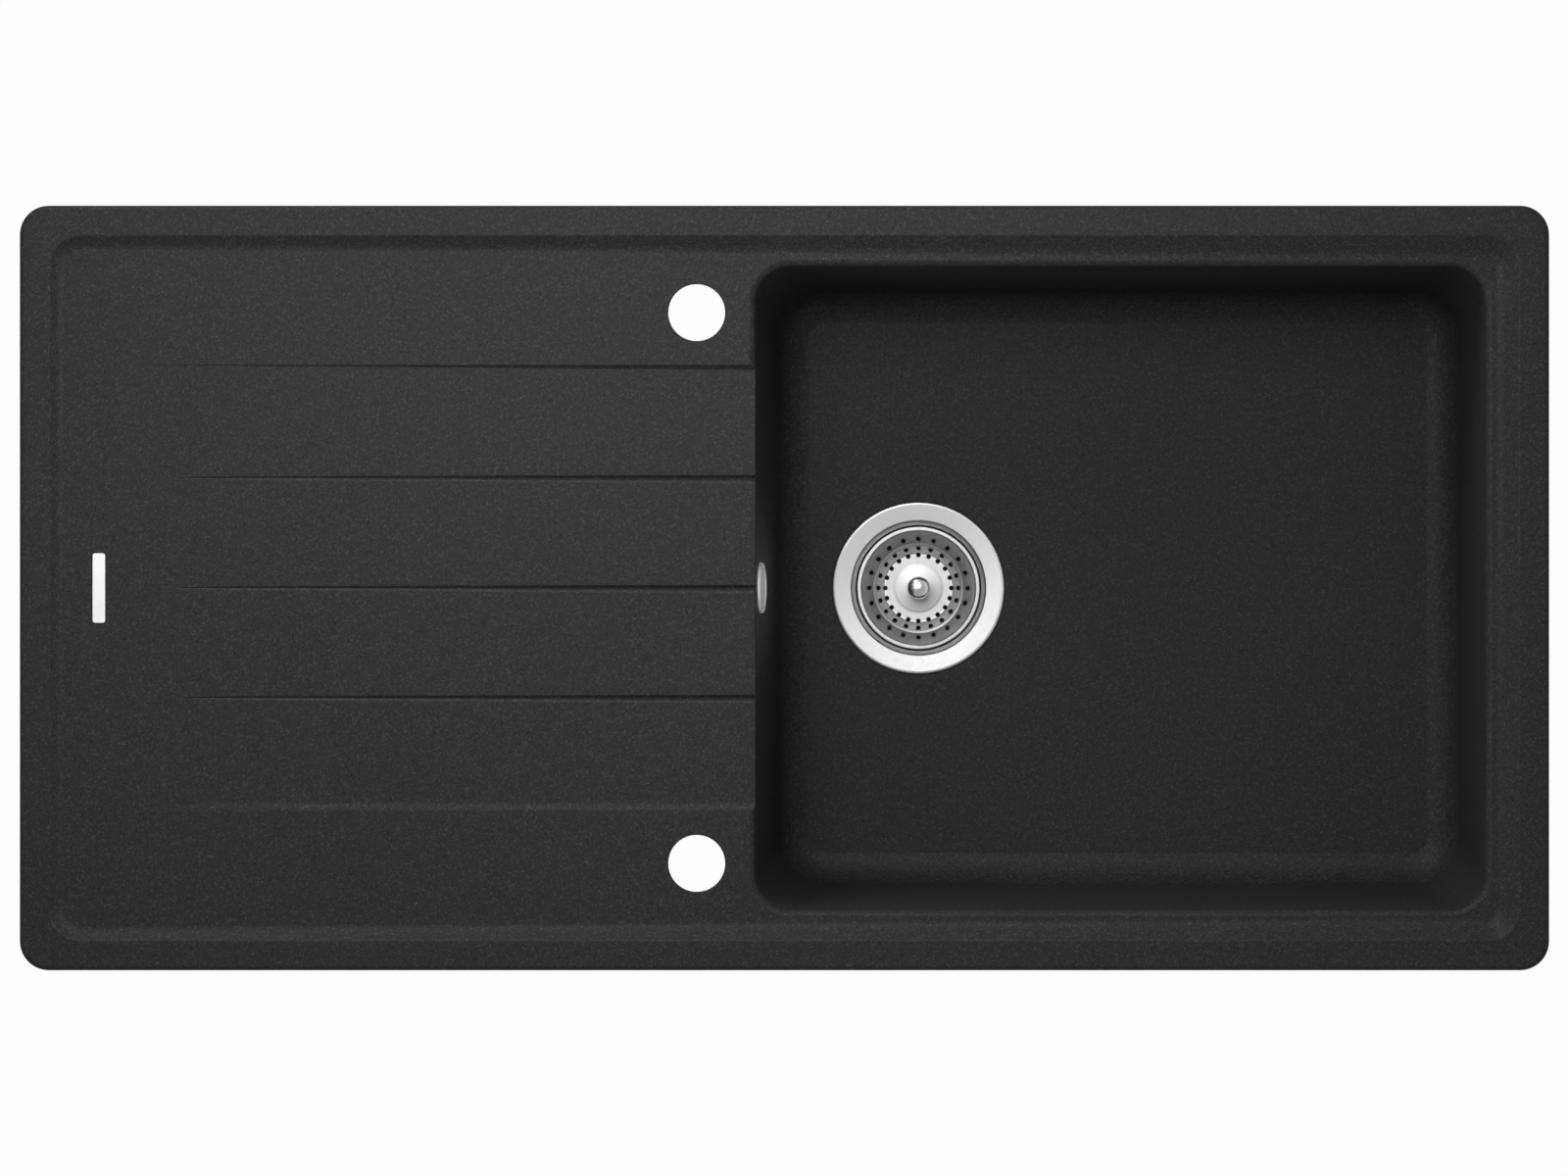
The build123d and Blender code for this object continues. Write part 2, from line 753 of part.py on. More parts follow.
def overflow_elbow():
    """Plastic head behind the wall: flange, closed tube with a bridge, and a drop tube."""
    frame = overflow_frame()
    at = elbow_outlet()
    mouth = elbow_mouth_z()
    wall = 2.5
    bore = overflow_tube_radius - wall
    drop_bore = pipe_radius - pipe_wall
    body = frame * rod(overflow_flange_radius, elbow_flange_low, rear_low)
    body += frame * rod(overflow_tube_radius, tube_low, rear_low)
    body += Pos(at.X, 0, 0) * rod(port_radius, mouth, at.Z)
    body -= frame * rod(bore, tube_low + wall, rear_low + 1)
    body -= Pos(at.X, 0, 0) * rod(drop_bore, mouth - 1, at.Z)
    stop = mouth + pipe_insertion + 0.5
    body -= Pos(at.X, 0, 0) * rod(pipe_radius + thread_clearance, mouth - 1, stop)
    body -= Pos(at.X, 0, mouth) * Rot(180, 0, 0) * seal_seat()
    bridge = Pos(0, 0, (bridge_top + bridge_low) / 2) * Box(2 * bore + 1, 7.0, bridge_top - bridge_low)
    bridge += rod(overflow_stud_radius + 2.5, bridge_low, bridge_top)
    bridge -= rod(overflow_stud_radius + running_clearance, bridge_low - 1, bridge_top + 1)
    return body + frame * bridge


def pipe_path():
    """Corner points of the overflow pipe's middle line."""
    x = elbow_outlet().X
    end = waste_x - port_reach + pipe_insertion
    return [(x, 0, elbow_mouth_z() + pipe_insertion), (x, 0, port_z), (end, 0, port_z)]


def overflow_pipe():
    """Moulded pipe from the elbow down and under the bowl to the waste body."""
    top, corner, end = pipe_path()
    path = FilletPolyline(top, corner, end, radius=pipe_bend_radius)
    start = Plane(origin=top, x_dir=(1, 0, 0), z_dir=(0, 0, -1))
    outside = sweep(start * Circle(pipe_radius), path)
    return outside - sweep(start * Circle(pipe_radius - pipe_wall), path)


# Clamps

head_low = -clamp_drop - clamp_head_height
jaw_low = -clamp_drop + fit_clearance
jaw_high = jaw_low + jaw_thickness


def clamp_insert():
    """Brass thread insert in a clamp boss."""
    top = clamp_insert_length - skirt_depth
    return ring(clamp_screw_radius + running_clearance, clamp_insert_radius, -skirt_depth, top)


def clamp_screw():
    """Clamp screw with a slotted hexagon head below the jaw."""
    head = Pos(0, 0, head_low) * extrude(RegularPolygon(clamp_head_radius, 6), clamp_head_height)
    head -= Pos(0, 0, head_low) * Box(2 * clamp_head_radius + 1, 1.2, 2.4)
    return head + rod(clamp_screw_radius, -clamp_drop - 0.5, -skirt_depth + clamp_insert_length - 1.5)


def clamp_jaw():
    """Steel strip that swings on the screw, with its tip bent up to bite under the worktop."""
    strip = Pos(jaw_length / 2, 0, (jaw_low + jaw_high) / 2) * Box(jaw_length, jaw_width, jaw_thickness)
    tip_x = jaw_length - jaw_thickness / 2
    tip = Pos(tip_x, 0, jaw_low + jaw_tip_height / 2) * Box(jaw_thickness, jaw_width, jaw_tip_height)
    eye = rod(jaw_width / 2, jaw_low, jaw_high)
    notch = Pos(jaw_length, 0, jaw_low + jaw_tip_height) * Box(3 * jaw_thickness, jaw_width / 3, 2.4)
    hole = rod(clamp_screw_radius + running_clearance, jaw_low - 1, jaw_high + 1)
    return strip + tip + eye - notch - hole


# Placing and writing

def main():
    save(granite_body(), "granite_body")
    save(rim_seal(), "rim_seal")
    save(trim_block(0, trim_proud - trim_thickness, trim_proud), "trim_plate")

    at_waste = Pos(waste_x, 0, 0)
    lower_seal = ring(waste_hole_radius + 1, body_flange_radius - 1, body_top, floor_under)
    for name, piece in (
        ("waste_flange", waste_flange()), ("flange_seal", flange_seal()), ("lower_seal", lower_seal),
        ("waste_body", waste_body()), ("waste_screw", waste_screw()), ("waste_insert", waste_insert()),
        ("basket_cup", basket_cup()), ("basket_knob", basket_knob()), ("basket_stem", basket_stem()),
        ("basket_plug", basket_plug()), ("plug_washer", plug_washer()), ("stem_nut", stem_nut()),
    ):
        save(at_waste * piece, name)

    frame = overflow_frame()
    for name, piece in (
        ("overflow_ring", overflow_ring()), ("overflow_cap", overflow_cap()),
        ("overflow_front_seal", overflow_front_seal()), ("overflow_rear_seal", overflow_rear_seal()),
    ):
        save(frame * piece, name)
    save(overflow_elbow(), "overflow_elbow")
    save(overflow_pipe(), "overflow_pipe")
    upper = Pos(elbow_outlet().X, 0, elbow_mouth_z()) * Rot(180, 0, 0)
    lower = Pos(waste_x - port_reach, 0, port_z) * Rot(0, -90, 0)
    for name, place in (("upper", upper), ("lower", lower)):
        save(place * pipe_nut(), f"{name}_pipe_nut")
        save(place * pipe_seal(), f"{name}_pipe_seal")

    sites = clamp_sites()
    save(Compound([Pos(x, y, 0) * clamp_insert() for x, y, heading in sites]), "clamp_inserts")
    for number, (x, y, heading) in enumerate(sites, 1):
        parked = Pos(x, y, 0) * Rot(0, 0, heading - 90)
        save(parked * clamp_screw(), f"clamp_screw_{number}")
        save(parked * clamp_jaw(), f"clamp_jaw_{number}")


main()
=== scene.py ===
import json
import math

import bpy
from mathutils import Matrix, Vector


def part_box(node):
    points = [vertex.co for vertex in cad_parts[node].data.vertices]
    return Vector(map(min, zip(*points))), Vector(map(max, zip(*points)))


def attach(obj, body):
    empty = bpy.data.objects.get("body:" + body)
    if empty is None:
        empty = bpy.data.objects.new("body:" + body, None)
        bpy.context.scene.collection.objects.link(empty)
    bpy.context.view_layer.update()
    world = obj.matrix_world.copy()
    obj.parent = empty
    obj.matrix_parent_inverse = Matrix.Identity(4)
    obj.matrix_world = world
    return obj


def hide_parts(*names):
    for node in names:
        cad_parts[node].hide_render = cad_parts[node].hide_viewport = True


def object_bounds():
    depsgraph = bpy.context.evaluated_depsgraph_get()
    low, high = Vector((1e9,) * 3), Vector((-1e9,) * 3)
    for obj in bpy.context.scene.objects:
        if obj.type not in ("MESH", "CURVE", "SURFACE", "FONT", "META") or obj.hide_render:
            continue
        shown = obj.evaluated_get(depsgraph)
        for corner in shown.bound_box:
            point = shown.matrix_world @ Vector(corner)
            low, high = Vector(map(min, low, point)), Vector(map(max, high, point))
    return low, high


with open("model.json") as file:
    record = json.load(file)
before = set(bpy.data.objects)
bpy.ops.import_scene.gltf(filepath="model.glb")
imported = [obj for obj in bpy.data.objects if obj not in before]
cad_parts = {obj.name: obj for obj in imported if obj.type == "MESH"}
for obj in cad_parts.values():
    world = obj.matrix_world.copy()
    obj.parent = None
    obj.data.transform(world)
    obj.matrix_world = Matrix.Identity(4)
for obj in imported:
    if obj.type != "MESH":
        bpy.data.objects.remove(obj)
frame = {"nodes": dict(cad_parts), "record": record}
cad_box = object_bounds()
subparts = frame["record"]["subparts"]

# Lengths are in metres. Axis of the waste and underside of the object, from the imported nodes
flange_low, flange_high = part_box("waste_flange")
WASTE = (flange_low + flange_high) / 2
BASE_Z = cad_box[0].z

# Drainer: its lines run along x from the start to the end, one pitch apart
GROOVE_PITCH = 0.0719
GROOVE_START = -0.412
GROOVE_END = -0.0198
GROOVE_REACH = 1.4 * GROOVE_PITCH  # the three grooves lie within this of the middle line
GROOVE_FLANK = 0.00155  # half width of a groove at the bowl
FLANK_LATE = 0.025  # the flanks open this far after the start
EDGE_RUN = 0.05  # the eased edges come in over this length
EDGE_WIDTH = (0.0012, 0.0021)  # eased edge at the start and at the bowl
EDGE_LEAN_FRONT = 0.5
EDGE_LEAN_BACK = 0.55
EDGE_PAINTED_LIGHT = (0.7, 1.4)  # painted shade on the back edge (darker), painted highlight on the front edge (lighter)
LEVEL_FACE = 0.97  # upward part of a level face's normal
FRONT_STEP = -0.1430  # y of the field's front step
# Painted highlight along the front step: full within the core, gone by the fade, coming in over
# the run from the grooves' start, at this gain on the colour
STEP_CORE = 0.0008
STEP_FADE = 0.0030
STEP_RUN = 0.1
STEP_PAINTED_HIGHLIGHT = 1.62
UPPER_FACE = 0.3  # upward part of the normal of a face that looks up

# Screw threads, shown as bump
PIPE_PITCH = 0.0023
PIPE_HEIGHT = 0.0022
PIPE_THREAD = (BASE_Z + 0.0015, BASE_Z + 0.022)
SCREW_PITCH = 0.0008
SCREW_HEIGHT = 0.0008
SCREW_HEAD = 0.0045
SCREWS = 8

# Linear colours
GRANITE = (0.0243, 0.0223, 0.0235)
GRANITE_PALE = (0.045, 0.043, 0.044)
GRANITE_DARK = (0.012, 0.0114, 0.0117)
STEEL = (0.45, 0.45, 0.4475)
PLATE_STEEL = (0.64, 0.64, 0.637)
KNOB_CHROME = (0.78, 0.78, 0.785)
SATIN_CHROME = (0.94, 0.94, 0.94)
ZINC_DULL, ZINC_BRIGHT = (0.50, 0.51, 0.53), (0.62, 0.63, 0.64)
BRASS_DULL, BRASS_BRIGHT = (0.52, 0.37, 0.15), (0.70, 0.52, 0.24)
PLASTIC_DARK, PLASTIC_LIGHT = (0.46, 0.46, 0.45), (0.53, 0.53, 0.52)
RUBBER_BLACK, RUBBER_DUSTY = (0.018, 0.018, 0.018), (0.034, 0.033, 0.032)
FOAM_DARK, FOAM_LIGHT = (0.16, 0.16, 0.155), (0.27, 0.268, 0.26)

# Painted light on the steel: bands of inner radius, outer radius and share of the steel's colour,
# brightened for painted highlight and dulled for painted shade on the turned faces
FLANGE_PAINTED_LIGHT_RINGS = [(0.0403, 0.0417, 1.7), (0.0417, 0.0436, 2.2), (0.0551, 0.0568, 1.9)]
BASKET_PAINTED_LIGHT_RINGS = [(0.0, 0.0148, 0.9), (0.0148, 0.0166, 0.75), (0.0166, 0.0217, 0.9),
                (0.0218, 0.0277, 1.35), (0.0277, 0.0302, 0.85), (0.0302, 0.0372, 1.4)]
BASKET_EASED = 0.0163  # radius of the eased cone
EASED_FACE = 0.2
BRUSH_STRETCH = 0.006  # how far brushing lines run along the turn

# The knob's crown, then shares of its radius with millimetres below its top or above its foot
CROWN_DROP = 0.0023
CROWN_SHARE = 0.87
CROWN_STEPS = 8
KNOB_EDGE = [(0.95, 2.3), (0.985, 2.75), (1.0, 3.4), (1.0, 5.2), (0.98, 5.8), (0.9, 6.6),
             (0.72, 8.2), (0.65, 9.0), (0.64, 9.8)]
KNOB_FOOT = [(0.64, 3.4), (0.66, 2.4), (0.72, 1.5), (0.85, 0.5), (0.9, 0.0)]
MILLIMETRE = 0.001
SHARP_ANGLE = math.radians(50)

# Stage
FLOOR_SIZE = 60.0
FLOOR_GAP = 0.0005
FLOOR_GREY = 0.6
FLOOR_WHITE = 0.98  # share of white that the camera and reflections see
CEILING = 0.4
CEILING_EDGE, CEILING_FULL = 0.45, 0.85
FILL = 0.25
LAMP_SIZE = (0.7, 0.6)
SOFTBOX_PLACE, SOFTBOX_POWER = (-0.08, 0.38, 1.2), 9.8
KEY_PLACE, KEY_POWER = (-0.5, 1.2, 0.8), 7.4
PHOTO_WIDTH = 1.0255
PHOTO_X = -0.0003
CAMERA_HEIGHT = 30.0
SENSOR_WIDTH = 36.0


# Node helpers

class Shader:
    """A material's node tree with short calls for the nodes used here."""

    def __init__(self, name):
        self.material = bpy.data.materials.new(name)
        self.material.use_nodes = True
        self.tree = self.material.node_tree
        self.bsdf = self.tree.nodes["Principled BSDF"]
        self.place = self.add("ShaderNodeTexCoord").outputs["Object"]

    def add(self, kind, **settings):
        node = self.tree.nodes.new(kind)
        for key, value in settings.items():
            setattr(node, key, value)
        return node

    def link(self, source, target):
        self.tree.links.new(source, target)

    def feed(self, socket, value):
        if isinstance(value, bpy.types.NodeSocket):
            self.link(value, socket)
        else:
            socket.default_value = value

    def set(self, **values):
        for key, value in values.items():
            self.feed(self.bsdf.inputs[key.replace("_", " ")], value)

    def math(self, operation, *values):
        node = self.add("ShaderNodeMath", operation=operation)
        for socket, value in zip(node.inputs, values):
            self.feed(socket, value)
        return node.outputs[0]

    def product(self, first, *others):
        for other in others:
            first = self.math("MULTIPLY", first, other)
        return first

    def between(self, value, low, high):
        return self.product(self.math("GREATER_THAN", value, low),
                            self.math("LESS_THAN", value, high))

    def vector(self, operation, *values):
        node = self.add("ShaderNodeVectorMath", operation=operation)
        for socket, value in zip(node.inputs, values):
            self.feed(socket, value)
        return node.outputs[0]

    def split(self, source):
        node = self.add("ShaderNodeSeparateXYZ")
        self.link(source, node.inputs[0])
        return node.outputs

    def join(self, x=0.0, y=0.0, z=0.0):
        node = self.add("ShaderNodeCombineXYZ")
        for socket, value in zip(node.inputs, (x, y, z)):
            self.feed(socket, value)
        return node.outputs[0]

    def channels(self, colour):
        node = self.add("ShaderNodeSeparateColor")
        self.link(colour, node.inputs[0])
        return node.outputs

    def grey(self, value):
        node = self.add("ShaderNodeCombineColor")
        for socket in node.inputs[:3]:
            self.link(value, socket)
        return node.outputs[0]

    def noise(self, scale, detail=2.0, rough=0.5, place=None):
        node = self.add("ShaderNodeTexNoise")
        self.link(place or self.place, node.inputs["Vector"])
        node.inputs["Scale"].default_value = scale
        node.inputs["Detail"].default_value = detail
        node.inputs["Roughness"].default_value = rough
        return node.outputs["Fac"]

    def cells(self, scale, out="Color"):
        node = self.add("ShaderNodeTexVoronoi")
        self.link(self.place, node.inputs["Vector"])
        node.inputs["Scale"].default_value = scale
        return node.outputs[out]

    def ramp(self, value, stops):
        node = self.add("ShaderNodeValToRGB")
        self.link(value, node.inputs[0])
        points = node.color_ramp.elements
        while len(points) < len(stops):
            points.new(0.5)
        for point, (at, level) in zip(points, stops):
            point.position = at
            point.color = (level, level, level, 1)
        return node.outputs[0]

    def span(self, value, a, b, c, d):
        """Map a to c and b to d, and hold the ends."""
        node = self.add("ShaderNodeMapRange")
        self.link(value, node.inputs[0])
        for socket, number in zip(node.inputs[1:5], (a, b, c, d)):
            socket.default_value = number
        return node.outputs[0]

    def spread(self, noise, low=0.0, high=1.0):
        """Map the range that a noise really fills."""
        return self.span(noise, 0.3, 0.7, low, high)

    def mix(self, factor, a, b, blend="MIX"):
        node = self.add("ShaderNodeMix", data_type="RGBA", blend_type=blend)
        self.feed(node.inputs[0], factor)
        for socket, value in ((node.inputs[6], a), (node.inputs[7], b)):
            linked = isinstance(value, bpy.types.NodeSocket)
            self.feed(socket, value if linked else (*value, 1))
        return node.outputs[2]

    def bump(self, height, distance, strength=1.0, normal=None):
        node = self.add("ShaderNodeBump")
        node.inputs["Strength"].default_value = strength
        node.inputs["Distance"].default_value = distance
        self.link(height, node.inputs["Height"])
        if normal:
            self.link(normal, node.inputs["Normal"])
        return node.outputs[0]

    def facing(self):
        """The face's normal in the node's own axes."""
        return self.split(self.add("ShaderNodeTexCoord").outputs["Normal"])

    def leaning(self, push):
        """The face's normal after a push to one side."""
        face = self.add("ShaderNodeNewGeometry").outputs["Normal"]
        return self.vector("NORMALIZE", self.vector("ADD", face, push))


def turned_place(s, centre):
    """Radius, shortened turn and height about an upright axis, for lines that run round it."""
    x, y, z = s.split(s.vector("SUBTRACT", s.place, (centre.x, centre.y, 0)))
    radius = s.math("SQRT", s.math("ADD", s.product(x, x), s.product(y, y)))
    return s.join(radius, s.product(s.math("ARCTAN2", y, x), BRUSH_STRETCH), z)


def thread(s, pitch, low, high, centre=None):
    """Bump height of a thread on an upright rod: a helix about a centre, or else plain rings."""
    height = s.split(s.place)[2]
    phase = s.math("DIVIDE", height, pitch)
    if centre:
        x, y, _ = s.split(s.vector("SUBTRACT", s.place, (centre.x, centre.y, 0)))
        phase = s.math("ADD", phase, s.math("DIVIDE", s.math("ARCTAN2", y, x), math.tau))
    return s.product(s.between(height, low, high), s.math("PINGPONG", phase, 0.5))


# Materials

def groove_edges(s):
    """Eased edges of the grooves: masks of the back and front edge, which the granite also uses
    for painted shade and painted highlight, and the leaning normal.
    """
    x, y, _ = s.split(s.place)
    across = s.math("WRAP", y, GROOVE_PITCH / 2, -GROOVE_PITCH / 2)
    forward = s.product(across, -1.0)
    begun = s.span(x, GROOVE_START, GROOVE_START + EDGE_RUN, 0.0, 1.0)
    width = s.product(begun, s.span(x, GROOVE_START + EDGE_RUN, GROOVE_END, *EDGE_WIDTH))
    flank = s.span(x, GROOVE_START + FLANK_LATE, GROOVE_END, 0.0, GROOVE_FLANK)
    level = s.product(s.math("LESS_THAN", s.math("ABSOLUTE", y), GROOVE_REACH),
                      s.math("LESS_THAN", x, GROOVE_END),
                      s.math("GREATER_THAN", s.facing()[2], LEVEL_FACE))
    back = s.product(level, s.between(across, 0.0, s.math("MAXIMUM", flank, width)))
    front = s.product(level, s.between(forward, flank, s.math("ADD", flank, width)))
    lean = s.math("SUBTRACT", s.product(front, EDGE_LEAN_FRONT), s.product(back, EDGE_LEAN_BACK))
    return back, front, s.leaning(s.join(y=lean))


def painted_step_highlight(s):
    """Painted highlight: a lighter band in the colour along the front step of the drainer's field.
    """
    x, y, _ = s.split(s.place)
    off = s.math("ABSOLUTE", s.math("SUBTRACT", y, FRONT_STEP))
    return s.product(s.span(off, STEP_CORE, STEP_FADE, 1.0, 0.0),
                     s.math("GREATER_THAN", s.facing()[2], UPPER_FACE),
                     s.span(x, GROOVE_START, GROOVE_START + STEP_RUN, 0.0, 1.0),
                     s.math("LESS_THAN", x, GROOVE_END))


def granite():
    """Dark quartz composite: near-black, with pale and dark grains and a satin, pitted face, and
    painted shade and highlight along the drainer's grooves and front step.
    """
    s = Shader("granite_composite")
    back, front, leaning = groove_edges(s)
    grain = s.channels(s.cells(900.0))
    pale = s.ramp(grain[0], [(0.0, 0.0), (0.72, 0.0), (1.0, 1.0)])
    dark = s.ramp(grain[1], [(0.0, 1.0), (0.3, 0.0)])
    body = s.mix(pale, GRANITE, GRANITE_PALE)
    body = s.mix(s.product(dark, 0.7), body, GRANITE_DARK)
    # Random tone of the grain, times the painted shade and painted highlight of the groove edges
    # and the painted highlight of the front step
    grain_and_painted_light = s.product(s.spread(s.noise(5.0), 0.96, 1.04),
                     s.spread(s.noise(800.0, rough=0.6), 0.76, 1.24),
                     s.span(s.math("SUBTRACT", front, back), -1.0, 1.0, *EDGE_PAINTED_LIGHT),
                     s.span(painted_step_highlight(s), 0.0, 1.0, 1.0, STEP_PAINTED_HIGHLIGHT))
    s.set(Base_Color=s.mix(1.0, body, s.grey(grain_and_painted_light), "MULTIPLY"), IOR=1.5, Specular_IOR_Level=0.1)
    s.set(Roughness=s.spread(s.noise(420.0), 0.42, 0.52))
    pits = s.bump(s.noise(1500.0, 1.0), 0.00012, 0.35, leaning)
    s.set(Normal=s.bump(s.noise(260.0), 0.0002, 0.18, pits))
    return s.material


def steel(name, colour, rough, centre=None, rings=(), eased=0.0):
    """Stainless steel with fine brushing, run round an axis where one is given.

    Rings are painted light: bands between two radii whose colour is brightened as a painted
    highlight or dulled as painted shade. Inside the eased radius the upper face shades as a
    flatter cone.
    """
    s = Shader(name)
    cloud = s.noise(45.0)
    tint_and_painted_light = s.mix(s.spread(cloud), [c * 0.94 for c in colour], colour)
    normal = None
    if centre:
        place = turned_place(s, centre)
        brush = s.noise(2600.0, rough=0.6, place=place)
        radius = s.split(place)[0]
    else:
        brush = s.noise(700.0, 3.0, 0.6)
    # Painted light: each ring's band takes the steel's colour times its share, brighter for
    # painted highlight, duller for painted shade
    for inner, outer, share in rings:
        tint_and_painted_light = s.mix(s.between(radius, inner, outer), tint_and_painted_light, [min(c * share, 1.0) for c in colour])
    if eased:
        upper = s.math("GREATER_THAN", s.facing()[2], EASED_FACE)
        normal = s.leaning(s.join(z=s.product(s.math("LESS_THAN", radius, eased), upper)))
    s.set(Base_Color=tint_and_painted_light, Metallic=1.0)
    s.set(Roughness=s.math("ADD", s.spread(brush, rough - 0.05, rough + 0.06),
                           s.spread(cloud, -0.02, 0.02)))
    s.set(Normal=s.bump(brush, 0.00002, 0.35, normal))
    return s.material


def chrome(name, colour, low, high):
    """Plating with the faint unevenness of a hand-polished casting."""
    s = Shader(name)
    haze = s.noise(260.0)
    s.set(Base_Color=s.mix(s.spread(haze), [c * 0.93 for c in colour], colour), Metallic=1.0)
    s.set(Roughness=s.spread(haze, low, high))
    s.set(Normal=s.bump(s.noise(90.0, 1.0), 0.0001, 0.1))
    return s.material


def zinc(name, threaded=None):
    """Bright zinc with the patchy spangle of barrel plating, threaded between two heights."""
    s = Shader(name)
    spangle = s.channels(s.cells(420.0))
    s.set(Base_Color=s.mix(spangle[0], ZINC_DULL, ZINC_BRIGHT), Metallic=1.0)
    s.set(Roughness=s.span(spangle[1], 0.0, 1.0, 0.3, 0.46))
    turns = s.bump(thread(s, SCREW_PITCH, *threaded), SCREW_HEIGHT) if threaded else None
    s.set(Normal=s.bump(s.noise(800.0), 0.00005, 0.3, turns))
    return s.material


def brass():
    """Turned brass, a little dulled."""
    s = Shader("turned_brass")
    dull = s.noise(150.0, 3.0)
    s.set(Base_Color=s.mix(s.spread(dull), BRASS_DULL, BRASS_BRIGHT), Metallic=1.0)
    s.set(Roughness=s.spread(dull, 0.42, 0.28))
    s.set(Normal=s.bump(s.noise(1800.0, 1.0), 0.00004, 0.3))
    return s.material


def plastic(name, threaded=None):
    """Grey moulded polypropylene with a fine texture, threaded about the waste's axis."""
    s = Shader(name)
    s.set(Base_Color=s.mix(s.spread(s.noise(22.0)), PLASTIC_DARK, PLASTIC_LIGHT))
    s.set(Roughness=s.spread(s.noise(500.0), 0.4, 0.54), Specular_IOR_Level=0.4)
    turns = s.bump(thread(s, PIPE_PITCH, *threaded, WASTE), PIPE_HEIGHT) if threaded else None
    s.set(Normal=s.bump(s.noise(1400.0), 0.00006, 0.3, turns))
    return s.material


def rubber():
    """Black rubber, matt and faintly dusty."""
    s = Shader("black_rubber")
    dust = s.noise(60.0, 3.0)
    s.set(Base_Color=s.mix(s.span(dust, 0.35, 0.75, 0.0, 1.0), RUBBER_BLACK, RUBBER_DUSTY))
    s.set(Roughness=s.spread(dust, 0.68, 0.84), Specular_IOR_Level=0.25)
    s.set(Normal=s.bump(s.noise(900.0), 0.0001, 0.35))
    return s.material


def foam():
    """Closed-cell sealing strip with visible cells."""
    s = Shader("sealing_foam")
    cell = s.cells(650.0, out="Distance")
    s.set(Base_Color=s.mix(s.span(cell, 0.1, 0.6, 0.0, 1.0), FOAM_DARK, FOAM_LIGHT))
    s.set(Roughness=s.span(cell, 0.1, 0.6, 0.78, 0.9))
    s.set(Normal=s.bump(cell, 0.0003, 0.4))
    return s.material


def dress():
    """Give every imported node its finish, by its own name or else by its material slot."""
    stone = granite()
    flange = steel("flange_steel", STEEL, 0.42, WASTE, FLANGE_PAINTED_LIGHT_RINGS)
    satin = chrome("satin_chrome", SATIN_CHROME, 0.6, 0.7)
    screw_low, screw_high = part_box("clamp_screw_1")
    threaded_zinc = zinc("threaded_zinc", (screw_low.z + SCREW_HEAD, screw_high.z))
    by_node = {
        "rim_seal": foam(),
        "trim_plate": steel("plate_steel", PLATE_STEEL, 0.34),
        "basket_cup": steel("basket_steel", STEEL, 0.40, WASTE, BASKET_PAINTED_LIGHT_RINGS, BASKET_EASED),
        "basket_knob": chrome("brushed_chrome", KNOB_CHROME, 0.2, 0.28),
        "overflow_ring": satin,
        "overflow_cap": satin,
        "waste_screw": steel("screw_steel", STEEL, 0.36, WASTE),
        "waste_body": plastic("threaded_plastic", PIPE_THREAD),
    }
    for number in range(1, SCREWS + 1):
        by_node[f"clamp_screw_{number}"] = threaded_zinc
    by_slot = {"granite": stone, "steel": flange, "chrome": satin, "zinc": zinc("zinc_plate"),
               "brass": brass(), "plastic": plastic("moulded_plastic"), "rubber": rubber()}
    for part in subparts:
        finish = by_node.get(part["node"]) or by_slot[part["material_slot"]]
        for slot in frame["nodes"][part["node"]].material_slots:
            slot.material = finish
    return by_node


# Turned pieces

def turned(name, centre, profile, finish, turns=64):
    """Mesh turned round an upright axis from radius and height pairs that start and end on it."""
    verts = [(centre.x, centre.y, profile[0][1]), (centre.x, centre.y, profile[-1][1])]
    faces = []
    for radius, height in profile[1:-1]:
        for step in range(turns):
            angle = math.tau * step / turns
            verts.append((centre.x + radius * math.cos(angle),
                          centre.y + radius * math.sin(angle), height))
    rows = len(profile) - 2
    for step in range(turns):
        after = (step + 1) % turns
        faces.append((0, 2 + step, 2 + after))
        for row in range(rows - 1):
            here, below = 2 + row * turns, 2 + (row + 1) * turns
            faces.append((here + step, below + step, below + after, here + after))
        last = 2 + (rows - 1) * turns
        faces.append((last + step, 1, last + after))
    mesh = bpy.data.meshes.new(name)
    mesh.from_pydata(verts, [], faces)
    mesh.shade_smooth()
    mesh.set_sharp_from_angle(angle=SHARP_ANGLE)
    mesh.materials.append(finish)
    piece = bpy.data.objects.new(name, mesh)
    bpy.context.collection.objects.link(piece)
    return piece


def knob(finish):
    """The basket's lifting knob with the softly domed crown of the photograph."""
    low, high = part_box("basket_knob")
    top, foot, radius = high.z, low.z, (high.x - low.x) / 2
    profile = [(0.0, top)]
    for step in range(1, CROWN_STEPS + 1):
        out = CROWN_SHARE * step / CROWN_STEPS
        profile.append((out * radius, top - CROWN_DROP * out * out))
    profile += [(share * radius, top - depth * MILLIMETRE) for share, depth in KNOB_EDGE]
    profile += [(share * radius, foot + height * MILLIMETRE) for share, height in KNOB_FOOT]
    profile.append((0.0, foot))
    piece = turned("domed_knob", WASTE, profile, finish)
    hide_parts("basket_knob")
    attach(piece, "basket")


# Stage

def seen_rays(tree):
    """One for rays that show the background: from the camera, in reflections and through glass."""
    path = tree.nodes.new("ShaderNodeLightPath")
    seen = path.outputs["Is Camera Ray"]
    for name in ("Is Glossy Ray", "Is Transmission Ray"):
        either = tree.nodes.new("ShaderNodeMath")
        either.operation = "MAXIMUM"
        tree.links.new(seen, either.inputs[0])
        tree.links.new(path.outputs[name], either.inputs[1])
        seen = either.outputs[0]
    return seen


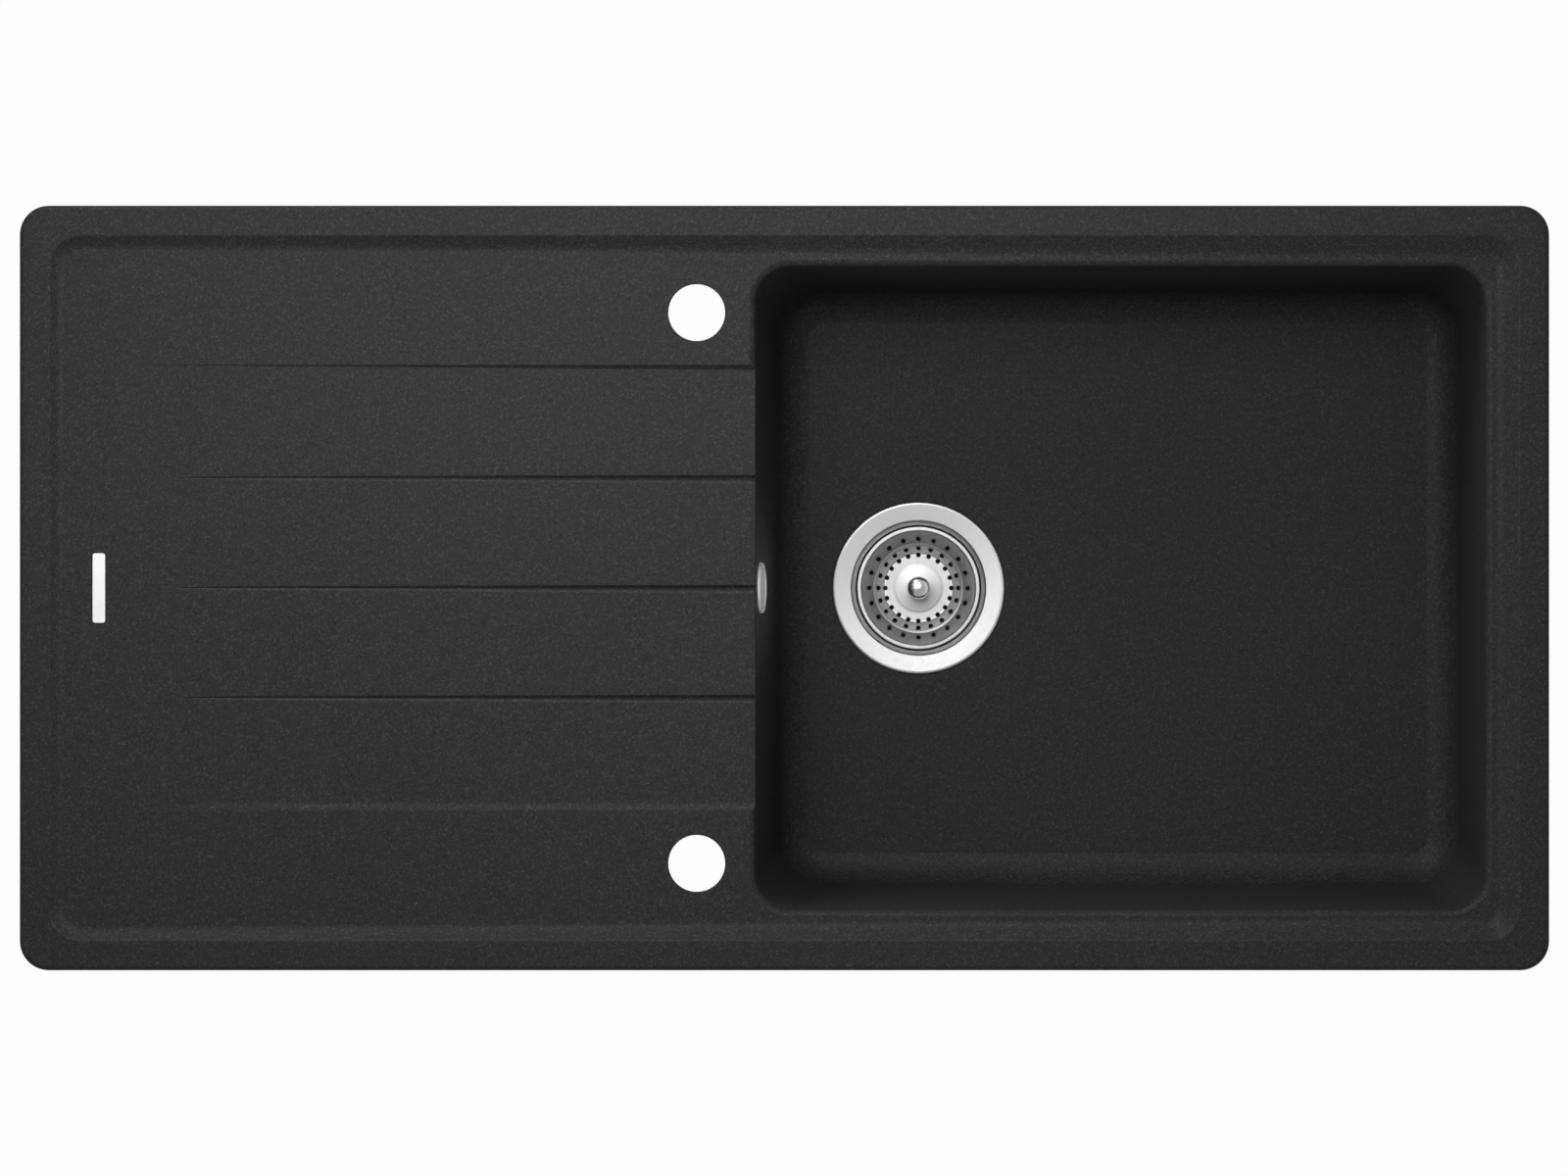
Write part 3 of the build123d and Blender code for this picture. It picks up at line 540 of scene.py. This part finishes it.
def stage_floor():
    """Large pale floor: white to the camera and in reflections, with a trace of the shadow."""
    bpy.ops.mesh.primitive_plane_add(size=FLOOR_SIZE, location=(0, 0, BASE_Z - FLOOR_GAP))
    floor = bpy.context.object
    floor.name = "studio_floor"
    material = bpy.data.materials.new("studio_floor")
    material.use_nodes = True
    tree = material.node_tree
    tree.nodes.clear()
    out = tree.nodes.new("ShaderNodeOutputMaterial")
    diffuse = tree.nodes.new("ShaderNodeBsdfDiffuse")
    diffuse.inputs["Color"].default_value = (FLOOR_GREY, FLOOR_GREY, FLOOR_GREY, 1)
    glow = tree.nodes.new("ShaderNodeEmission")
    glow.inputs["Strength"].default_value = 1.0
    share = tree.nodes.new("ShaderNodeMath")
    share.operation = "MULTIPLY"
    share.inputs[1].default_value = FLOOR_WHITE
    tree.links.new(seen_rays(tree), share.inputs[0])
    mix = tree.nodes.new("ShaderNodeMixShader")
    tree.links.new(share.outputs[0], mix.inputs[0])
    tree.links.new(diffuse.outputs[0], mix.inputs[1])
    tree.links.new(glow.outputs[0], mix.inputs[2])
    tree.links.new(mix.outputs[0], out.inputs[0])
    floor.data.materials.append(material)


def area(name, place, power):
    """Soft rectangular lamp aimed at the middle of the sink."""
    data = bpy.data.lights.new(name, "AREA")
    data.shape = "RECTANGLE"
    data.size, data.size_y = LAMP_SIZE
    data.energy = power
    lamp = bpy.data.objects.new(name, data)
    lamp.location = place
    lamp.rotation_euler = (-Vector(place)).to_track_quat("-Z", "Y").to_euler()
    lamp.visible_camera = False
    bpy.context.collection.objects.link(lamp)


def studio():
    """White surroundings under a greyer ceiling, a weak fill, a softbox and a key from behind."""
    world = bpy.data.worlds.new("studio")
    bpy.context.scene.world = world
    world.use_nodes = True
    tree = world.node_tree
    back = tree.nodes["Background"]
    back.inputs["Color"].default_value = (1, 1, 1, 1)
    split = tree.nodes.new("ShaderNodeSeparateXYZ")
    direction = tree.nodes.new("ShaderNodeTexCoord").outputs["Generated"]
    tree.links.new(direction, split.inputs[0])
    sky = tree.nodes.new("ShaderNodeMapRange")
    tree.links.new(split.outputs[2], sky.inputs[0])
    for socket, number in zip(sky.inputs[1:5], (CEILING_EDGE, CEILING_FULL, 1.0, CEILING)):
        socket.default_value = number
    level = tree.nodes.new("ShaderNodeMapRange")
    level.inputs[3].default_value = FILL
    tree.links.new(seen_rays(tree), level.inputs[0])
    tree.links.new(sky.outputs[0], level.inputs[4])
    tree.links.new(level.outputs[0], back.inputs["Strength"])
    area("softbox", SOFTBOX_PLACE, SOFTBOX_POWER)
    area("key", KEY_PLACE, KEY_POWER)


def camera():
    """Straight down on the sink, far away and with a long lens, framed as the photograph."""
    data = bpy.data.cameras.new("camera")
    data.sensor_width = SENSOR_WIDTH
    data.lens = SENSOR_WIDTH * CAMERA_HEIGHT / PHOTO_WIDTH
    data.clip_start = 1.0
    data.clip_end = 100.0
    seat = bpy.data.objects.new("camera", data)
    seat.location = (PHOTO_X, 0, CAMERA_HEIGHT)
    bpy.context.collection.objects.link(seat)
    bpy.context.scene.camera = seat


finishes = dress()
knob(finishes["basket_knob"])
stage_floor()
studio()
camera()
bpy.context.scene.view_settings.view_transform = "Standard"
